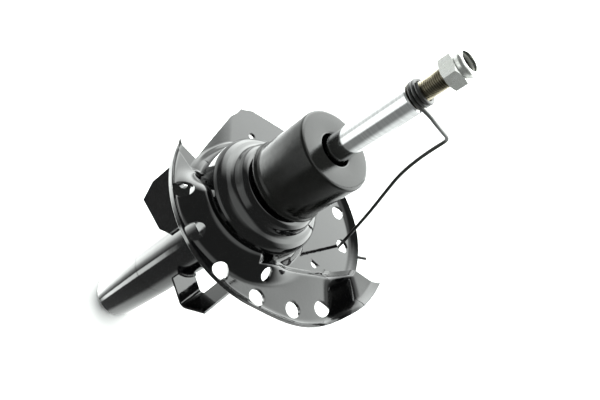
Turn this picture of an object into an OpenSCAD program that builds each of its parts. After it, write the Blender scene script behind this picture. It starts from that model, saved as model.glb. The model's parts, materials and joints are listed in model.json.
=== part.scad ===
// Twin-tube suspension strut with an offset helical spring seat.
// Millimetres. +Z runs up the strut; the origin is the centre of the tube's bottom end.

/* [Outer tube] */
// Diameter of the lower end that the knuckle clamps
spigot_d = 51; // [45:0.1:62]
// Length of the clamped lower end
spigot_len = 90; // [70:1:100]
// How much smaller the tube is above the clamped end
tube_relief = 0.2; // [0.2:0.1:1]
// Wall of the outer tube
tube_wall = 2.6; // [2:0.1:4]

/* [Piston rod] */
// Diameter of the piston rod
rod_d = 22; // [18:0.1:27]
// Diameter of the threaded stud
stud_d = 14; // [11:0.1:17]
// Length of the threaded stud
stud_len = 39; // [32:0.5:50]
// Compression travel left from rest
bump_travel = 70; // [50:1:100]
// Extension travel left from rest
rebound_travel = 125; // [90:1:160]
// Room under the piston nut when the compression travel is used up
reserve_len = 30.8; // [20:0.2:60]

/* [Inner damper] */
// Inside diameter of the working cylinder
cylinder_bore = 32; // [30:0.1:38]
// Wall of the working cylinder
cylinder_wall = 1.5; // [1:0.1:2]
// Height of the foot valve's underside
foot_valve_z = 10; // [8:1:16]
// Axial length of the rod guide's large diameter
guide_len = 16; // [12:1:24]

/* [Cap] */
// Gap between the tube and the cap's wall, which the ribs fill
cap_gap = 5; // [2:0.1:8]
// Wall of the cap
cap_wall = 3; // [2:0.5:4]
// Gap round the rod in the cap's hole
cap_hole_gap = 2.5; // [1.5:0.1:6]
// Height of the cap's top above the tube's end
cap_rise = 10; // [6:1:16]

/* [Spring seat] */
// Radius of the seat's rim about its own centre
seat_r = 98; // [94:0.1:120]
// Seat centre, distance from the strut axis along X
seat_cx = -17; // [-20:0.5:-10]
// Seat centre, distance from the strut axis along Y
seat_cy = 12; // [8:0.5:16]
// Drop from the tube's top end to the flat platform at the back of the seat
seat_drop = 94.5; // [78:0.5:114]
// Height of the neck above the platform
neck_h = 45.5; // [37:0.5:56]
// How far the neck's foot stands out from the tube
neck_foot = 26.6; // [24:0.1:32]
// Rise of the spring ledge in one turn
ledge_pitch = 36; // [24:1:44]
// Sheet thickness of the seat
sheet_t = 3; // [2.5:0.1:4]
// Diameter of the drain holes in the spring ledge
drain_d = 14; // [10:0.1:17]
// Diameter of the drain holes in the platform
platform_drain_d = 14; // [8:0.1:17]
// Height of the upturned rim
rim_h = 5; // [3:0.5:7]
// Extra height of the tongue at the end of the ledge
tongue_h = 19; // [10:1:22]

/* [Brackets] */
// Diameter of the hole for the stabiliser link
link_hole_d = 12.2; // [10:0.1:15]
// Thickness of the link bracket
link_t = 5; // [4:0.5:6]
// Reach of the link bracket from the strut axis
link_reach = 67; // [56:0.5:81]
// Thickness of the hose bracket
hose_t = 2.5; // [2:0.1:4]
// Width of the hose bracket's foot
hose_w = 27; // [20:1:35]

/* [Transport wire] */
// Diameter of the transport wire
wire_d = 2.9; // [2:0.1:3.2]

/* [Hidden] */
$fn = 64;

// Gaps: a running fit on a radius, a loose passage for the rod, and the lap of a welded joint
run_gap = 0.05;
rod_gap = 0.6;
weld_lap = 0.4;

tube_r = spigot_d / 2 - tube_relief / 2;
tube_in_r = spigot_d / 2 - tube_wall;
rod_r = rod_d / 2;
stud_r = stud_d / 2;

// Foot valve and working cylinder
cyl_r = cylinder_bore / 2;
cyl_out_r = cyl_r + cylinder_wall;
valve_flange_t = 4;
valve_spigot_t = 7;
valve_bolt_r = 3;
valve_head_r = 6;
valve_head_h = 3;
valve_top_r = 5;
valve_port_r = 1.8;
valve_port_place = (valve_bolt_r + cyl_r) / 2;
disc_t = 1.6;
disc_lap = 0.7;
valve_disc_r = valve_port_place + valve_port_r + disc_lap;
cyl_z = foot_valve_z + valve_flange_t;
valve_disc_z = cyl_z + valve_spigot_t;
valve_top_z = valve_disc_z + disc_t + valve_head_h;
// Oil returns between the cylinder and the outer tube
oil_way_r = (tube_in_r - cyl_out_r) * 0.28;
oil_way_place = (tube_in_r + cyl_out_r) / 2;

// Piston and what is bolted on the rod's lower end, from the nut upwards
tail_r = rod_r - 5;
piston_h = 18;
ring_h = 3;
nut_h = 8;
nut_reach = 4.4;
piston_r = cyl_r - 0.6;
band_h = 10;
band_groove = 1;
port_r = 1.5;
port_place = (tail_r + piston_r - band_groove) / 2;
disc_r = port_place + port_r + 0.3;
stop_h = 20;
stop_gap = 1.4;
stop_r = cyl_r - 1.6;
ring_groove = 1;
land_h = 3;
tail_z = valve_top_z + reserve_len + bump_travel;
piston_z = tail_z + nut_h + disc_t;
rod_bottom_z = piston_z + piston_h + disc_t;
stop_z = rod_bottom_z + land_h + ring_h;

// Top stack, from the guide upwards
guide_spigot = 8;
bush_t = 1.5;
ring_t = 4;
washer_t = 2;
seal_t = 7;
end_roll = 1;
guide_z = stop_z + stop_h + rebound_travel + stop_gap + guide_spigot;
seal_z = guide_z + guide_len;
washer_z = seal_z + seal_t;
ring_z = washer_z + washer_t;
tube_len = ring_z + ring_t + end_roll;
bump_gap = 4;
shoulder_z = tube_len + cap_rise + bump_travel + bump_gap;
stud_top_z = shoulder_z + stud_len;

// Seat neck: a pressed sleeve that steps from the plate up to the tube
seat_z = tube_len - seat_drop;
neck_top_z = seat_z + neck_h;
neck_step_z = neck_top_z - 17.5;
neck_base_r = tube_r + neck_foot;
neck_mid_r = tube_r + neck_foot * 0.53;

// Cap, from just above the neck to its flat top
cap_in_r = tube_r + cap_gap;
cap_r = cap_in_r + cap_wall;
cap_hole_r = rod_r + cap_hole_gap;
cap_z = neck_top_z + 3;
cap_top_z = tube_len + cap_rise;
cap_rib_t = 2.4;
cap_rib_z = cap_z + 6;
cap_lip_t = 2;

// Top nut
nut_flats = stud_d * 11 / 7;
top_nut_z = stud_top_z - 12;
nut_hex_h = 10.5;
nut_collar_h = 5;
nut_collar_r = stud_r + 3;
insert_r = stud_r + 1.6;
insert_h = 3;

// Seat outline and levels
notch_a = -75;
tongue_a = 110.3;
seam = 0.6;
chord_d = seat_r + 2.5;
chord_a = -141.5;
notch_d = neck_base_r + 8.1;
notch_line_a = -71.6;
corner_a = 234;
corner_ease = 3.5;
crease_x = 28;
valley_drop = 8.5;
rim_w = 7;
back_rim_w = 9;
back_rim_h = 6;
back_flare = 4;
tongue_flare = 12;
// The tongue is a shelf: its slope starts shelf_in inside the rim and is shelf_w wide
shelf_in = 38;
shelf_w = 16;
shelf_share = 0.79;
ledge_mid_z = seat_z + 1;
// The ledge ends at a brow line, from which the sheet drops to the platform
brow = [24.7, 56.6];
brow_n = [0.613, 0.79];
brow_w = 10;
// The platform dips beyond this line
dip = [-11.4, -43.8];
dip_n = [0.714, -0.7];
dip_w = 26;
hole_r = seat_r - rim_w - 4.5;
hole_a0 = -36.5;
hole_pitch = 23.6;

far_r = 2 * seat_r;

function clamp01(t) = min(1, max(0, t));
function ease(t) = let (c = clamp01(t)) c * c * (3 - 2 * c);
function mix(a, b, t) = a + (b - a) * t;
function dot2(a, b) = a[0] * b[0] + a[1] * b[1];

// How far the rim circle of radius r is from the strut axis at azimuth a
function rim_reach(a, r) =
  let (d = dot2([cos(a), sin(a)], [seat_cx, seat_cy]), c2 = seat_cx * seat_cx + seat_cy * seat_cy)
  d + sqrt(d * d - c2 + r * r);

function front(a) = a < tongue_a + seam / 2;

// Outline radius of the seat at azimuth a, which runs from notch_a to notch_a + 360
function edge_r(a) = front(a)
  ? rim_reach(a, seat_r + tongue_flare * ease((a - 45) / 42))
  : min(rim_reach(a, seat_r + back_flare * (1 - ease((a - 135) / 30)) + 8 * ease((a - 185) / 25)),
        a > 180 && a < 250 ? chord_d / cos(a - 360 - chord_a) : far_r,
        a > 225 ? notch_d / cos(a - 360 - notch_line_a) : far_r)
    - corner_ease * (1 - ease(abs(a - corner_a) / 9));

function rim_width(a) = front(a) ? rim_w : back_rim_w;
function rim_height(a) = front(a) ? rim_h : back_rim_h * (1 - ease((a - 180) / 16));

// Rise of the tongue above the ledge, d inside the rim
function shelf(d) = ease((shelf_in - d) / shelf_w);
function tongue_rise(a, d) = tongue_h * ease((a - 80 - d / 2) / 16)
  * mix(clamp01(1 - d / (shelf_in - shelf_w)), shelf(d), shelf_share);

// Level of the helical ledge that the spring's end coil lies on
function ledge_z(x, y) = ledge_mid_z + ledge_pitch / 360 * atan2(y - seat_cy, x - seat_cx);

// Level of the platform behind the ledge, which dips into a valley beside the notch
function back_z(a, p) = seat_z - (a > 200 ? valley_drop * ease(dot2(p - dip, dip_n) / dip_w) : 0);

// Share of the ledge in the front half, whose ends step down to the platform and to the valley
function on_ledge(a, p, d) = a > 40
  ? max(ease(dot2(p - brow, brow_n) / brow_w + 1), shelf(d) * ease((a - 90) / 10), 1 - ease((a - 42) / 14))
  : a < -20 ? ease((p[0] - crease_x) / 4 + 0.5) : 1;

// Level of the seat's upper face at azimuth a and radius r
function seat_top(a, r) =
  let (p = [r * cos(a), r * sin(a)], d = edge_r(a) - r)
  let (lip = rim_height(a) * pow(clamp01(1 - d / rim_width(a)), 2))
  let (foot = 7 * (1 - ease((r - neck_base_r) / 9)))
  front(a) ? lip + front_z(a, r, p, d, foot) : lip + back_z(a, p) + foot;
function front_z(a, r, p, d, foot) =
  let (share = on_ledge(a, p, d))
  let (low = a < 0 ? seat_z - valley_drop : seat_z)
  let (cone = 15 * (1 - ease((r - neck_base_r) / 22)) * ease((a + 62) / 30) * (1 - ease((a - 55) / 40)))
  mix(low + foot, ledge_z(p[0], p[1]) + tongue_rise(a, d) + max(cone, foot * (1 - share)), share);

seat_in_r = neck_base_r - 1;
// Stations across the sheet: over the flat, then up the tongue's shelf and the rim
function stations(a) =
  let (e = edge_r(a), w = front(a) ? mix(rim_w, shelf_in, ease((a - 66) / 20)) : back_rim_w)
  concat([for (k = [0:6]) mix(seat_in_r, e - w, k / 6)], [for (k = [1:8]) e - w * pow(1 - k / 8, 1.2)]);
cols = 120;
front_cols = 66;
columns = concat(
  [for (i = [0:front_cols - 1]) mix(notch_a + seam, tongue_a, i / (front_cols - 1))],
  [for (i = [0:cols - front_cols - 1])
     mix(tongue_a + seam, notch_a + 360 - seam, i / (cols - front_cols - 1))]);

function steep(a, r) =
  let (dr = (seat_top(a, r + 0.5) - seat_top(a, r - 0.5)))
  min(1.8, sqrt(1 + dr * dr));
function seat_point(a, r, under) =
  [r * cos(a), r * sin(a), seat_top(a, r) - (under ? sheet_t * steep(a, r) : 0)];

// Height of the seat's upper face under a point of its plan
function plan_z(p) =
  let (a0 = atan2(p[1], p[0]), a = a0 < notch_a ? a0 + 360 : a0)
  seat_top(a, norm(p));
function about_seat(r, a) = [seat_cx + r * cos(a), seat_cy + r * sin(a)];

small_holes = [[[-25, 74], 7.5], [[39, 52], 9], [[-50, -52], 7]];
// Places of the ledge's drain holes round the seat, in pitches, and the share of the flare each follows
drains = [[0, 0.12], [1, 0.12], [2, 0.12], [3, 0.12], [3.94, 0.4], [4.72, 0.75]];

// The wire winds down round the stud and leaves in the upright plane through a platform drain.
// The route lists shares of the way out to the drain and of the drop from shoulder to platform.
wire_hole = about_seat(hole_r, hole_a0 + 7 * hole_pitch);
wire_a = atan2(wire_hole[1], wire_hole[0]);
wire_out = norm(wire_hole);
wire_drop = shoulder_z - seat_z;
wire_r = wire_d / 2;
coil_r = stud_r + 0.6 + wire_r;
coil_turns = 2.25;
coil_steps = 20;
coil_gap = 0.3;
wire_route = [[0.094, -0.007], [0.188, 0.009], [0.291, 0.028], [0.384, 0.045], [0.441, 0.059],
  [0.474, 0.081], [0.483, 0.118], [0.488, 0.168], [0.502, 0.246], [0.544, 0.359], [0.614, 0.459],
  [0.684, 0.555],
  [0.755, 0.655], [0.825, 0.762], [0.891, 0.868], [0.952, 0.964], [0.980, 1.020], [1.013, 1.053],
  [1.069, 1.064], [1.153, 1.056], [1.247, 1.036], [1.331, 1.017]];

module tube_of(r_out, r_in, h) {
  difference() {
    cylinder(r = r_out, h = h);
    translate([0, 0, -1])
      cylinder(r = r_in, h = h + 2);
  }
}

module outer_tube() {
  color([0.05, 0.05, 0.05])
    rotate_extrude($fn = 96)
      polygon([[tube_in_r, 0], [spigot_d / 2 - 1, 0], [spigot_d / 2, 1], [spigot_d / 2, spigot_len],
        [tube_r, spigot_len + 1], [tube_r, tube_len - 1], [tube_r - 1, tube_len], [tube_in_r, tube_len]]);
}

module base_cup() {
  cup_t = 3;
  color([0.08, 0.08, 0.08])
    rotate_extrude()
      polygon([[0, 0], [tube_in_r, 0], [tube_in_r, foot_valve_z], [tube_in_r - cup_t, foot_valve_z],
        [tube_in_r - cup_t, cup_t + 1], [tube_in_r - cup_t - 1, cup_t], [0, cup_t]]);
}

module working_cylinder() {
  color([0.6, 0.6, 0.62])
    translate([0, 0, cyl_z])
      tube_of(cyl_out_r, cyl_r, guide_z - cyl_z);
}

// The body stands on the cup's skirt, and four slots let oil in from the outer tube
module foot_valve_body() {
  color([0.45, 0.44, 0.42])
    translate([0, 0, foot_valve_z])
      difference() {
        union() {
          cylinder(r = tube_in_r - 0.4, h = valve_flange_t);
          cylinder(r = cyl_r, h = valve_flange_t + valve_spigot_t);
        }
        translate([0, 0, -1])
          cylinder(r = valve_bolt_r, h = 20);
        for (a = [0:60:300])
          rotate([0, 0, a])
            translate([valve_port_place, 0, -1])
              cylinder(r = valve_port_r, h = 20);
        for (a = [30:60:330])
          rotate([0, 0, a])
            translate([oil_way_place, 0, -1])
              cylinder(r = oil_way_r, h = 20);
      }
}

module foot_valve_discs() {
  color([0.5, 0.52, 0.55])
    translate([0, 0, valve_disc_z])
      tube_of(valve_disc_r, valve_bolt_r, disc_t);
}

module foot_valve_bolt() {
  bolt_z = foot_valve_z - valve_head_h;
  color([0.55, 0.55, 0.5])
    translate([0, 0, bolt_z]) {
      cylinder(r = valve_bolt_r, h = valve_top_z - bolt_z);
      cylinder(r = valve_head_r, h = valve_head_h);
      translate([0, 0, valve_disc_z + disc_t - bolt_z])
        cylinder(r = valve_top_r, h = valve_head_h);
    }
}

module rod_guide() {
  color([0.5, 0.49, 0.47])
    difference() {
      union() {
        translate([0, 0, guide_z])
          cylinder(r = tube_in_r, h = guide_len);
        translate([0, 0, guide_z - guide_spigot])
          cylinder(r = cyl_r, h = guide_spigot + 1);
      }
      translate([0, 0, guide_z - guide_spigot - 1])
        cylinder(r = rod_r + run_gap + bush_t, h = guide_len + guide_spigot + 2);
      for (a = [0:90:270])
        rotate([0, 0, a])
          translate([oil_way_place, 0, guide_z - 1])
            cylinder(r = oil_way_r, h = guide_len + 2);
    }
}

module guide_bush() {
  color([0.45, 0.3, 0.15])
    translate([0, 0, guide_z - guide_spigot])
      tube_of(rod_r + run_gap + bush_t, rod_r + run_gap, guide_len + guide_spigot);
}

module oil_seal() {
  color([0.1, 0.1, 0.11])
    translate([0, 0, seal_z])
      difference() {
        cylinder(r = tube_in_r, h = seal_t);
        translate([0, 0, -1])
          cylinder(r = rod_r + 0.3, h = seal_t + 2);
        translate([0, 0, -1])
          tube_of(rod_r + 6, rod_r + 3, 4);
      }
}

module seal_washer() {
  color([0.55, 0.55, 0.52])
    translate([0, 0, washer_z])
      tube_of(tube_in_r, rod_r + rod_gap, washer_t);
}

module closure_ring() {
  color([0.2, 0.2, 0.2])
    translate([0, 0, ring_z])
      tube_of(tube_in_r, rod_r + 4, ring_t);
}

// Inverted cup; ribs inside it grip the top of the tube
module bump_stop_cap() {
  color([0.14, 0.14, 0.14]) {
    rotate_extrude($fn = 96)
      polygon([[cap_in_r, cap_z], [cap_r + cap_lip_t, cap_z], [cap_r + cap_lip_t, cap_z + 2],
        [cap_r, cap_z + 4], [cap_r, cap_top_z - 2], [cap_r - 2, cap_top_z], [cap_hole_r, cap_top_z],
        [cap_hole_r, cap_top_z - cap_wall], [cap_in_r, cap_top_z - cap_wall]]);
    for (a = [0:45:315])
      rotate([0, 0, a])
        difference() {
          translate([tube_r - 1, -cap_rib_t / 2, cap_rib_z])
            cube([cap_gap + 2, cap_rib_t, cap_top_z - cap_wall / 2 - cap_rib_z]);
          cylinder(r = tube_r, h = tube_len);
        }
  }
}

// Pressed sleeve with two steps, one sheet thick
module seat_neck() {
  t = sheet_t;
  color([0.06, 0.06, 0.06])
    rotate_extrude($fn = 96)
      polygon([
        [neck_base_r, seat_z - valley_drop - 6], [neck_base_r, neck_step_z - 6],
        [neck_base_r - 1.5, neck_step_z - 2], [neck_base_r - 5, neck_step_z + 1.5],
        [neck_mid_r + 2.5, neck_step_z + 3], [neck_mid_r, neck_step_z + 5],
        [neck_mid_r - 0.5, neck_top_z - 8], [neck_mid_r - 2.5, neck_top_z - 4], [tube_r + 5, neck_top_z - 1],
        [tube_r + 1, neck_top_z], [tube_r, neck_top_z], [tube_r, neck_top_z - 8],
        [tube_r + 4, neck_top_z - t - 2],
        [neck_mid_r - t - 1.5, neck_top_z - t - 5], [neck_mid_r - t, neck_top_z - t - 6],
        [neck_mid_r - t, neck_step_z + 2], [neck_mid_r - t + 2, neck_step_z],
        [neck_base_r - t - 3, neck_step_z - 2],
        [neck_base_r - t, neck_step_z - 6], [neck_base_r - t, seat_z - valley_drop - 6]]);
}

module seat_sheet() {
  n = len(stations(0));
  tops = [for (a = columns) for (r = stations(a)) seat_point(a, r, false)];
  unders = [for (a = columns) for (r = stations(a)) seat_point(a, r, true)];
  m = cols * n;
  function at(i, j) = (i % cols) * n + j;
  polyhedron(points = concat(tops, unders), faces = concat(
    [for (i = [0:cols - 1]) for (j = [0:n - 2]) each [
      [at(i, j), at(i + 1, j), at(i + 1, j + 1)], [at(i, j), at(i + 1, j + 1), at(i, j + 1)]]],
    [for (i = [0:cols - 1]) for (j = [0:n - 2]) each [
      [m + at(i, j), m + at(i + 1, j + 1), m + at(i + 1, j)],
      [m + at(i, j), m + at(i, j + 1), m + at(i + 1, j + 1)]]],
    [for (i = [0:cols - 1]) each [
      [at(i, 0), m + at(i, 0), m + at(i + 1, 0)], [at(i, 0), m + at(i + 1, 0), at(i + 1, 0)]]],
    [for (i = [0:cols - 1]) each [
      [at(i, n - 1), m + at(i + 1, n - 1), m + at(i, n - 1)],
      [at(i, n - 1), at(i + 1, n - 1), m + at(i + 1, n - 1)]]]));
}

module seat_hole(p, d) {
  translate([p[0], p[1], plan_z(p) - 25])
    cylinder(r = d / 2, h = 50, $fn = 32);
}

module spring_seat() {
  color([0.06, 0.06, 0.06])
    difference() {
      seat_sheet();
      for (h = drains)
        seat_hole(about_seat(hole_r + tongue_flare * h[1], hole_a0 + h[0] * hole_pitch), drain_d);
      for (k = [7:8])
        seat_hole(about_seat(hole_r, hole_a0 + k * hole_pitch), platform_drain_d);
      for (h = small_holes)
        seat_hole(h[0], h[1]);
    }
}

// Upright plate welded to the side of the tube, with the hole for the link's stud
link_x = 12;
link_top_z = seat_z - 19.5;
link_low_z = link_top_z - 82;
link_root = tube_r - 6.4;
link_hole = [-(link_reach - 17), link_top_z - 18];
module link_bracket() {
  color([0.05, 0.05, 0.05])
    difference() {
      translate([link_x, 0, 0])
        rotate([90, 0, 90])
          linear_extrude(link_t)
            polygon([[-link_root, link_low_z + 10], [-link_root - 10, link_low_z],
              [-link_reach + 7, link_low_z + 5], [-link_reach, link_low_z + 31],
              [-link_reach, link_top_z - 14], [-link_reach + 10, link_top_z],
              [-link_root - 11, link_top_z], [-link_root, link_top_z - 8]]);
      cylinder(r = tube_r - weld_lap, h = tube_len);
      translate([link_x - 1, link_hole[0], link_hole[1]])
        rotate([0, 90, 0])
          cylinder(r = link_hole_d / 2, h = link_t + 2);
    }
}

// Strip folded to an open V: a foot that slopes off the tube and a tray that rises beyond it
hose_x = tube_r + 4.6;
hose_foot = [tube_r - 9.4, seat_z - 108.5];
hose_fold = [tube_r + 17.6, seat_z - 121.5];
hose_tray = [15, 24];
hose_tray_l = 58;
module hose_bracket() {
  color([0.09, 0.09, 0.09])
    difference() {
      union() {
        translate([hose_x - hose_w, 0, 0])
          rotate([90, 0, 90])
            linear_extrude(hose_w)
              polygon([hose_foot, hose_foot - [0, hose_t], hose_fold - [0, hose_t], hose_fold]);
        translate([hose_x - hose_tray_l, 0, 0])
          rotate([90, 0, 90])
            linear_extrude(hose_tray_l)
              polygon([hose_fold - [0, hose_t], hose_fold, hose_fold + hose_tray,
                hose_fold + hose_tray + [hose_t, -1.5]]);
      }
      cylinder(r = tube_r - weld_lap, h = tube_len);
    }
}

module piston_rod() {
  color([0.75, 0.75, 0.77])
    rotate_extrude($fn = 96)
      polygon([[0, tail_z], [tail_r - 1, tail_z], [tail_r, tail_z + 1], [tail_r, rod_bottom_z],
        [rod_r, rod_bottom_z], [rod_r, stop_z - ring_h], [rod_r - ring_groove, stop_z - ring_h],
        [rod_r - ring_groove, stop_z], [rod_r, stop_z], [rod_r, shoulder_z - 1], [rod_r - 1, shoulder_z],
        [stud_r, shoulder_z], [stud_r, stud_top_z - 1.2], [stud_r - 1.2, stud_top_z], [0, stud_top_z]]);
}

module piston() {
  color([0.4, 0.4, 0.4])
    translate([0, 0, piston_z])
      difference() {
        cylinder(r = piston_r, h = piston_h);
        translate([0, 0, -1])
          cylinder(r = tail_r, h = piston_h + 2);
        translate([0, 0, (piston_h - band_h) / 2])
          tube_of(piston_r + 1, piston_r - band_groove, band_h);
        for (a = [0:60:300])
          rotate([0, 0, a])
            translate([port_place, 0, -1])
              cylinder(r = port_r, h = piston_h + 2);
      }
}

module piston_band() {
  color([0.35, 0.28, 0.2])
    translate([0, 0, piston_z + (piston_h - band_h) / 2 + 0.1])
      tube_of(cyl_r - run_gap, piston_r - band_groove + run_gap, band_h - 0.2);
}

module compression_discs() {
  color([0.5, 0.52, 0.55])
    translate([0, 0, piston_z + piston_h])
      tube_of(disc_r, tail_r, disc_t);
}

module rebound_discs() {
  color([0.5, 0.52, 0.55])
    translate([0, 0, piston_z - disc_t])
      tube_of(disc_r, tail_r, disc_t);
}

module piston_nut() {
  color([0.55, 0.55, 0.5])
    translate([0, 0, tail_z])
      difference() {
        cylinder(r = tail_r + nut_reach, h = nut_h, $fn = 6);
        translate([0, 0, -1])
          cylinder(r = tail_r, h = nut_h + 2, $fn = 48);
      }
}

module rebound_ring() {
  color([0.5, 0.5, 0.5])
    translate([0, 0, stop_z - ring_h])
      tube_of(stop_r, rod_r - ring_groove, ring_h);
}

module rebound_stop() {
  color([0.75, 0.72, 0.6])
    translate([0, 0, stop_z])
      tube_of(stop_r, rod_r, stop_h);
}

module top_nut() {
  hex_r = nut_flats / 2 / cos(30);
  color([0.72, 0.74, 0.75])
    translate([0, 0, top_nut_z])
      difference() {
        union() {
          intersection() {
            cylinder(r = hex_r, h = nut_hex_h, $fn = 6);
            rotate_extrude()
              polygon([[0, 0], [hex_r - 1.4, 0], [hex_r + 0.4, 1], [hex_r + 0.4, nut_hex_h - 1],
                [hex_r - 1.4, nut_hex_h], [0, nut_hex_h]]);
          }
          rotate_extrude()
            polygon([[0, nut_hex_h - 1], [nut_collar_r, nut_hex_h - 1],
              [nut_collar_r, nut_hex_h + nut_collar_h - 2],
              [nut_collar_r - 1.6, nut_hex_h + nut_collar_h], [0, nut_hex_h + nut_collar_h]]);
        }
        translate([0, 0, -1])
          cylinder(r = stud_r, h = 30);
        translate([0, 0, nut_hex_h])
          cylinder(r = insert_r, h = insert_h);
      }
}

module nut_insert() {
  color([0.85, 0.85, 0.8])
    translate([0, 0, top_nut_z + nut_hex_h])
      tube_of(insert_r, stud_r, insert_h - 0.2);
}

// Centre line of the wire: a helix on the stud, then the route, which swings in from the coil's side
wire_line = concat(
  [for (k = [0:coil_turns * coil_steps - 1]) let (a = wire_a - 90 - 360 * (coil_turns - k / coil_steps))
    [coil_r * cos(a), coil_r * sin(a),
     shoulder_z + coil_gap + wire_r + wire_d * (coil_turns - k / coil_steps)]],
  [for (k = [0:len(wire_route) - 1])
    let (q = [wire_route[k][0] * wire_out, wire_route[k][1] * wire_drop], off = coil_r * (1 - ease(k / 6)))
    [q[0] * cos(wire_a) + off * sin(wire_a), q[0] * sin(wire_a) - off * cos(wire_a), shoulder_z - q[1]]]);
function unit(v) = v / norm(v);
function wire_dir(k) = unit(wire_line[min(k + 1, len(wire_line) - 1)] - wire_line[max(k - 1, 0)]);

// A round tube swept along the centre line, one ring of points at each station
module transport_wire() {
  n = len(wire_line);
  s = 8;
  pts = [for (k = [0:n - 1])
    let (d = wire_dir(k), other = abs(d[2]) > 0.9 ? [cos(wire_a), sin(wire_a), 0] : [0, 0, 1])
    let (side = unit(cross(d, other)))
    for (j = [0:s - 1]) let (turn = j * 360 / s)
      wire_line[k] + wire_r * (side * cos(turn) + cross(d, side) * sin(turn))];
  color([0.05, 0.05, 0.05])
    polyhedron(points = pts, faces = concat(
      [[for (j = [0:s - 1]) j]],
      [[for (j = [0:s - 1]) n * s - 1 - j]],
      [for (k = [0:n - 2]) for (j = [0:s - 1]) each [
        [k * s + j, (k + 1) * s + (j + 1) % s, k * s + (j + 1) % s],
        [k * s + j, (k + 1) * s + j, (k + 1) * s + (j + 1) % s]]]));
}

outer_tube();
base_cup();
working_cylinder();
foot_valve_body();
foot_valve_discs();
foot_valve_bolt();
rod_guide();
guide_bush();
oil_seal();
seal_washer();
closure_ring();
bump_stop_cap();
seat_neck();
spring_seat();
link_bracket();
hose_bracket();
piston_rod();
piston();
piston_band();
compression_discs();
rebound_discs();
piston_nut();
rebound_ring();
rebound_stop();
top_nut();
nut_insert();
transport_wire();
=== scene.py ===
"""Suspension strut: the visible pieces, their finishes, the studio and the camera."""

import json
import math

import bpy
import numpy as np
from mathutils import Matrix, Vector


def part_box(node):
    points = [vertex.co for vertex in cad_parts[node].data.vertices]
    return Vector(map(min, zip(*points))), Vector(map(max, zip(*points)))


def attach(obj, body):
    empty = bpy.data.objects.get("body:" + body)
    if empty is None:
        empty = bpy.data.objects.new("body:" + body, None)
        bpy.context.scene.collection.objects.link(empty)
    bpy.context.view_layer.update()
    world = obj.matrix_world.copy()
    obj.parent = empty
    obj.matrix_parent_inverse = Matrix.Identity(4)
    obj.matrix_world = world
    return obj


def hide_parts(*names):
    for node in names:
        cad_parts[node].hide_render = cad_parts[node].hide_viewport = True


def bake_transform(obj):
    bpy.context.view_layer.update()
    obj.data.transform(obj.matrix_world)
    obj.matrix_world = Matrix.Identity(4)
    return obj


MM = 0.001

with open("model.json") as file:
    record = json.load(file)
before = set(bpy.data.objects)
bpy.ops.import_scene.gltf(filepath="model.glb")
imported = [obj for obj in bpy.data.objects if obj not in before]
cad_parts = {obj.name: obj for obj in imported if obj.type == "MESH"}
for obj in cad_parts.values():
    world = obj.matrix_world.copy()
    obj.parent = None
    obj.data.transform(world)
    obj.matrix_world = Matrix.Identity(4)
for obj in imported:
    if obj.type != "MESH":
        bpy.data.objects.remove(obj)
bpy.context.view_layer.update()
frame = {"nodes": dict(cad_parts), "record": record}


# ---------------------------------------------------------------- measures


def outer_radius(node):
    """Largest distance of a round node from the strut's axis."""
    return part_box(node)[1].x


def top_of(node):
    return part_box(node)[1].z


def bottom_of(node):
    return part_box(node)[0].z


SPIGOT_R = outer_radius("outer_tube")
SPIGOT_RELIEF = 0.1 * MM
TUBE_R = SPIGOT_R - SPIGOT_RELIEF
TUBE_WALL = 2.6 * MM
TUBE_TOP = top_of("outer_tube")
SPIGOT_TOP = 90 * MM
CAP_LIP_R = outer_radius("bump_stop_cap")
CAP_BOTTOM = bottom_of("bump_stop_cap")
CAP_TOP = top_of("bump_stop_cap")
NECK_R = outer_radius("seat_neck")
NECK_BOTTOM = bottom_of("seat_neck")
NECK_TOP = top_of("seat_neck")
ROD_R = outer_radius("piston_rod")
ROD_BOTTOM = bottom_of("piston_rod")
STUD_TOP = top_of("piston_rod")
STUD_R = 7 * MM
STUD_LENGTH = 39 * MM
SHOULDER = STUD_TOP - STUD_LENGTH
PLATFORM_DEPTH = 94.5 * MM
PLATFORM = TUBE_TOP - PLATFORM_DEPTH
SHEET = 3 * MM
TOUCH = 0.001 * MM


# ---------------------------------------------------------------- camera


CAMERA_PLACE = Vector((0.35168, 0, 0.59848))
CAMERA_RIGHT = Vector((-0.52369, 0.55152, 0.64929))
CAMERA_AHEAD = Vector((-0.76164, 0.03832, -0.64687))
LENS, SENSOR_WIDTH = 34.8, 36


def set_camera():
    data = bpy.data.cameras.new("camera")
    data.sensor_width = SENSOR_WIDTH
    data.lens = LENS
    data.clip_start = 0.01
    data.clip_end = 50
    camera = bpy.data.objects.new("camera", data)
    bpy.context.scene.collection.objects.link(camera)
    right, ahead = CAMERA_RIGHT.normalized(), CAMERA_AHEAD.normalized()
    up = right.cross(ahead)
    turn = Matrix((right, up, -ahead)).transposed()
    camera.matrix_world = Matrix.Translation(CAMERA_PLACE) @ turn.to_4x4()
    bpy.context.scene.camera = camera


set_camera()


# ---------------------------------------------------------------- finishes


class Reading:
    """A value that varies over a surface. Arithmetic on it adds Math nodes."""

    def __init__(self, finish, socket):
        self.finish = finish
        self.socket = socket

    def math(self, operation, first, second):
        return self.finish.add("Math", {"operation": operation}, {0: first, 1: second})

    def __add__(self, other):
        return self.math("ADD", self, other)

    __radd__ = __add__

    def __mul__(self, other):
        return self.math("MULTIPLY", self, other)

    __rmul__ = __mul__

    def __truediv__(self, other):
        return self.math("DIVIDE", self, other)

    def __pow__(self, other):
        return self.math("POWER", self, other)


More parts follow.
